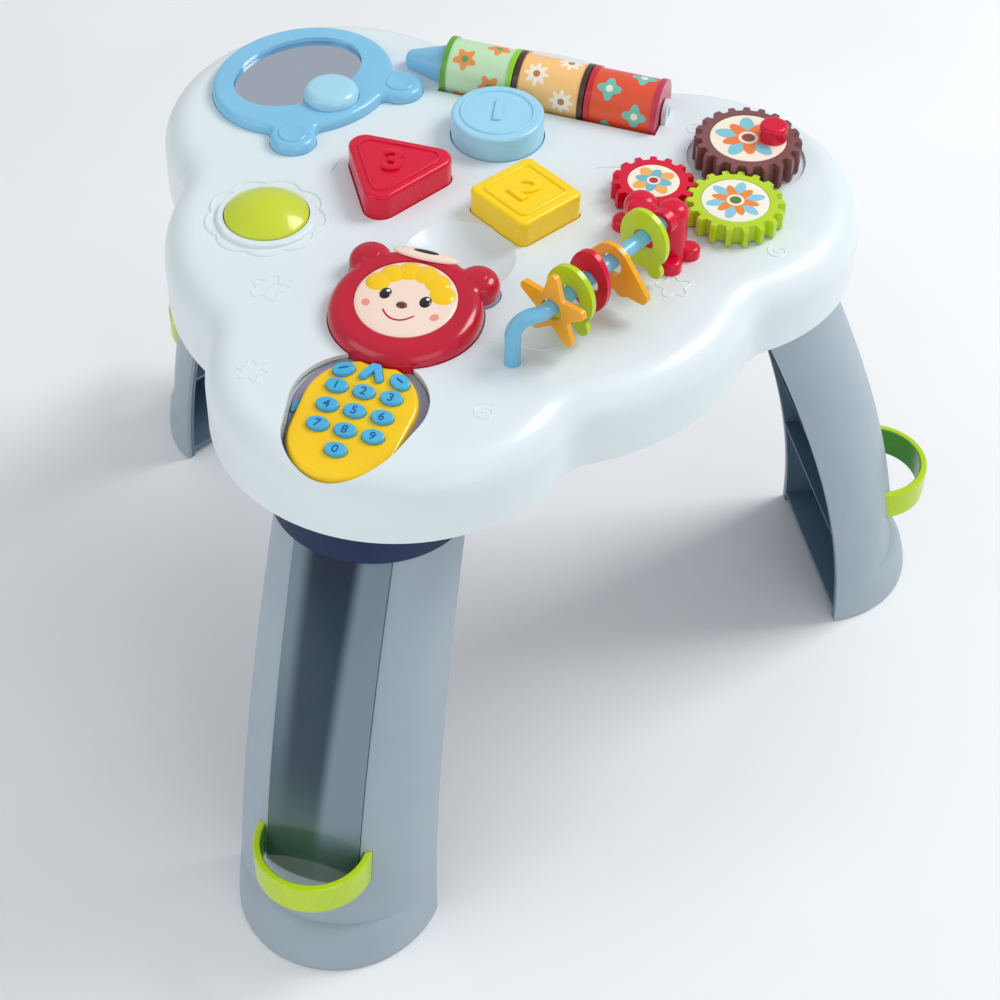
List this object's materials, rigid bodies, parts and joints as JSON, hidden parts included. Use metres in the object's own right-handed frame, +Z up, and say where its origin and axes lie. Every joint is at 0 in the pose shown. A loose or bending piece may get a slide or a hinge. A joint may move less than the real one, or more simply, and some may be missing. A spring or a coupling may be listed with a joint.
{
  "type": "musical activity table",
  "caption": "Three-legged toddler activity table with play phone, shape blocks, meshed gears, spinning drums, bead bar, mirror and push button.",
  "frame": {"origin": "bottom centre of the whole table's box, on the floor", "axes": "+Z up, the front leg and the phone's lobe towards -Y, the rollers along X at the back"},
  "size_m": [0.5514, 0.4962, 0.3907],
  "materials": {
    "top_white": "moulded, satin gloss",
    "pan_navy": "moulded, satin",
    "leg_grey": "moulded, fine satin",
    "liner_slate": "moulded, matte",
    "hoop_lime": "moulded, gloss",
    "window_smoke": "clear tinted, polished",
    "block_blue": "moulded, gloss",
    "block_yellow": "moulded, gloss",
    "toy_red": "moulded, gloss",
    "drum_green": "printed sleeve, gloss",
    "drum_orange": "printed sleeve, gloss",
    "drum_red": "printed sleeve, gloss",
    "gear_brown": "moulded, gloss",
    "toy_lime": "moulded, gloss",
    "post_grey": "moulded",
    "rod_blue": "moulded, gloss",
    "toy_orange": "moulded, gloss",
    "toy_green": "moulded, gloss",
    "frame_blue": "moulded, gloss",
    "mirror": "polished sheet",
    "lens_blue": "translucent, gloss",
    "grip_lavender": "moulded, satin",
    "keypad_yellow": "moulded, gloss",
    "key_blue": "moulded, gloss",
    "mat_rubber": "moulded rubber",
    "steel": "drawn",
    "battery_wrap": "wrapped cell",
    "speaker_black": "pressed frame",
    "board_green": "lacquered board"
  },
  "bodies": {
    "table": {"table_top_shell": "top_white", "base_pan": "pan_navy", "battery_door": "pan_navy", "batteries": "battery_wrap", "speaker": "speaker_black", "circuit_board": "board_green", "case_screws": "steel", "roller_axle": "steel", "roller_bracket": "rod_blue", "gear_posts": "post_grey", "button_spring": "steel", "bead_rod": "rod_blue", "rod_bracket": "toy_red", "mirror_frame": "frame_blue", "mirror_plate": "mirror", "light_lens": "lens_blue", "leg_window": "window_smoke", "leg_front": "leg_grey", "leg_liner_front": "liner_slate", "leg_hoop_front": "hoop_lime", "leg_right": "leg_grey", "leg_liner_right": "liner_slate", "leg_hoop_right": "hoop_lime", "leg_left": "leg_grey", "leg_liner_left": "liner_slate", "leg_hoop_left": "hoop_lime"},
    "round_block": {"round_block": "block_blue"},
    "square_block": {"square_block": "block_yellow"},
    "triangle_block": {"triangle_block": "toy_red"},
    "phone": {"phone_back_shell": "grip_lavender", "phone_front_shell": "keypad_yellow", "phone_key_mat": "mat_rubber", "phone_head": "toy_red"},
    "roller_left": {"roller_left": "drum_green"},
    "roller_middle": {"roller_middle": "drum_orange"},
    "roller_right": {"roller_right": "drum_red"},
    "crank_gear": {"crank_gear": "gear_brown"},
    "idler_gear": {"idler_gear": "toy_lime"},
    "spinner_gear": {"spinner_gear": "toy_red"},
    "crank_knob": {"crank_knob": "toy_red"},
    "dome_button": {"dome_button": "toy_lime"},
    "bead_1": {"bead_1": "toy_orange"},
    "bead_2": {"bead_2": "toy_green"},
    "bead_3": {"bead_3": "toy_red"},
    "bead_4": {"bead_4": "toy_orange"},
    "bead_5": {"bead_5": "toy_green"},
    "key_0": {"key_0": "key_blue"},
    "key_1": {"key_1": "key_blue"},
    "key_2": {"key_2": "key_blue"},
    "key_3": {"key_3": "key_blue"},
    "key_4": {"key_4": "key_blue"},
    "key_5": {"key_5": "key_blue"},
    "key_6": {"key_6": "key_blue"},
    "key_7": {"key_7": "key_blue"},
    "key_8": {"key_8": "key_blue"},
    "key_9": {"key_9": "key_blue"},
    "function_key_left": {"function_key_left": "key_blue"},
    "function_key_right": {"function_key_right": "key_blue"},
    "rocker_key": {"rocker_key": "key_blue"},
    "side_key": {"side_key": "key_blue"}
  },
  "joints": [
    {"name": "round_block_lift", "type": "slide", "parent": "table", "child": "round_block", "axis": [0, 0, 1], "range_m": [0, 0.06]},
    {"name": "square_block_lift", "type": "slide", "parent": "table", "child": "square_block", "axis": [0, 0, 1], "range_m": [0, 0.06]},
    {"name": "triangle_block_lift", "type": "slide", "parent": "table", "child": "triangle_block", "axis": [0, 0, 1], "range_m": [0, 0.06]},
    {"name": "phone_lift", "type": "slide", "parent": "table", "child": "phone", "axis": [0, -0.1045, 0.9945], "range_m": [0, 0.06]},
    {"name": "key_0_press", "type": "slide", "parent": "phone", "child": "key_0", "axis": [0, 0.1045, -0.9945], "range_m": [0, 0.001], "stiffness_N_per_m": 400, "springref_m": -0.0005},
    {"name": "key_1_press", "type": "slide", "parent": "phone", "child": "key_1", "axis": [0, 0.1045, -0.9945], "range_m": [0, 0.001], "stiffness_N_per_m": 400, "springref_m": -0.0005},
    {"name": "key_2_press", "type": "slide", "parent": "phone", "child": "key_2", "axis": [0, 0.1045, -0.9945], "range_m": [0, 0.001], "stiffness_N_per_m": 400, "springref_m": -0.0005},
    {"name": "key_3_press", "type": "slide", "parent": "phone", "child": "key_3", "axis": [0, 0.1045, -0.9945], "range_m": [0, 0.001], "stiffness_N_per_m": 400, "springref_m": -0.0005},
    {"name": "key_4_press", "type": "slide", "parent": "phone", "child": "key_4", "axis": [0, 0.1045, -0.9945], "range_m": [0, 0.001], "stiffness_N_per_m": 400, "springref_m": -0.0005},
    {"name": "key_5_press", "type": "slide", "parent": "phone", "child": "key_5", "axis": [0, 0.1045, -0.9945], "range_m": [0, 0.001], "stiffness_N_per_m": 400, "springref_m": -0.0005},
    {"name": "key_6_press", "type": "slide", "parent": "phone", "child": "key_6", "axis": [0, 0.1045, -0.9945], "range_m": [0, 0.001], "stiffness_N_per_m": 400, "springref_m": -0.0005},
    {"name": "key_7_press", "type": "slide", "parent": "phone", "child": "key_7", "axis": [0, 0.1045, -0.9945], "range_m": [0, 0.001], "stiffness_N_per_m": 400, "springref_m": -0.0005},
    {"name": "key_8_press", "type": "slide", "parent": "phone", "child": "key_8", "axis": [0, 0.1045, -0.9945], "range_m": [0, 0.001], "stiffness_N_per_m": 400, "springref_m": -0.0005},
    {"name": "key_9_press", "type": "slide", "parent": "phone", "child": "key_9", "axis": [0, 0.1045, -0.9945], "range_m": [0, 0.001], "stiffness_N_per_m": 400, "springref_m": -0.0005},
    {"name": "function_key_left_press", "type": "slide", "parent": "phone", "child": "function_key_left", "axis": [0, 0.1045, -0.9945], "range_m": [0, 0.001], "stiffness_N_per_m": 400, "springref_m": -0.0005},
    {"name": "function_key_right_press", "type": "slide", "parent": "phone", "child": "function_key_right", "axis": [0, 0.1045, -0.9945], "range_m": [0, 0.001], "stiffness_N_per_m": 400, "springref_m": -0.0005},
    {"name": "rocker_key_press", "type": "slide", "parent": "phone", "child": "rocker_key", "axis": [0, 0.1045, -0.9945], "range_m": [0, 0.001], "stiffness_N_per_m": 400, "springref_m": -0.0005},
    {"name": "side_key_press", "type": "slide", "parent": "phone", "child": "side_key", "axis": [0, 0.1045, -0.9945], "range_m": [0, 0.001], "stiffness_N_per_m": 400, "springref_m": -0.0005},
    {"name": "roller_left_spin", "type": "hinge", "parent": "table", "child": "roller_left", "pos_m": [-0.0354, 0.18887, 0.345], "axis": [1, 0, 0], "continuous": true},
    {"name": "roller_middle_spin", "type": "hinge", "parent": "table", "child": "roller_middle", "pos_m": [0.0106, 0.18887, 0.345], "axis": [1, 0, 0], "continuous": true},
    {"name": "roller_right_spin", "type": "hinge", "parent": "table", "child": "roller_right", "pos_m": [0.0566, 0.18887, 0.345], "axis": [1, 0, 0], "continuous": true},
    {"name": "crank_gear_spin", "type": "hinge", "parent": "table", "child": "crank_gear", "pos_m": [0.13735, 0.16544, 0.3465], "axis": [0, 0, 1], "continuous": true},
    {"name": "idler_gear_spin", "type": "hinge", "parent": "table", "child": "idler_gear", "pos_m": [0.1443, 0.10887, 0.3465], "axis": [0, 0, 1], "continuous": true},
    {"name": "spinner_gear_spin", "type": "hinge", "parent": "table", "child": "spinner_gear", "pos_m": [0.09485, 0.11102, 0.3465], "axis": [0, 0, 1], "continuous": true},
    {"name": "crank_knob_spin", "type": "hinge", "parent": "crank_gear", "child": "crank_knob", "pos_m": [0.15098, 0.1704, 0.36], "axis": [0, 0, 1], "continuous": true},
    {"name": "dome_button_press", "type": "slide", "parent": "table", "child": "dome_button", "axis": [0, 0, -1], "range_m": [0, 0.004], "stiffness_N_per_m": 600, "springref_m": -0.001, "deforming": ["button_spring"]},
    {"name": "bead_1_slide", "type": "slide", "parent": "table", "child": "bead_1", "axis": [0.3795, 0.9252, 0], "range_m": [-0.005, 0.005]},
    {"name": "bead_2_slide", "type": "slide", "parent": "table", "child": "bead_2", "axis": [0.3795, 0.9252, 0], "range_m": [-0.005, 0.005]},
    {"name": "bead_3_slide", "type": "slide", "parent": "table", "child": "bead_3", "axis": [0.3795, 0.9252, 0], "range_m": [-0.005, 0.005]},
    {"name": "bead_4_slide", "type": "slide", "parent": "table", "child": "bead_4", "axis": [0.3795, 0.9252, 0], "range_m": [-0.005, 0.005]},
    {"name": "bead_5_slide", "type": "slide", "parent": "table", "child": "bead_5", "axis": [0.3795, 0.9252, 0], "range_m": [-0.005, 0.005]}
  ],
  "couplings": [
    {"joint": "idler_gear_spin", "follows": "crank_gear_spin", "ratio": -1.1111},
    {"joint": "spinner_gear_spin", "follows": "crank_gear_spin", "ratio": 1.3333}
  ]
}
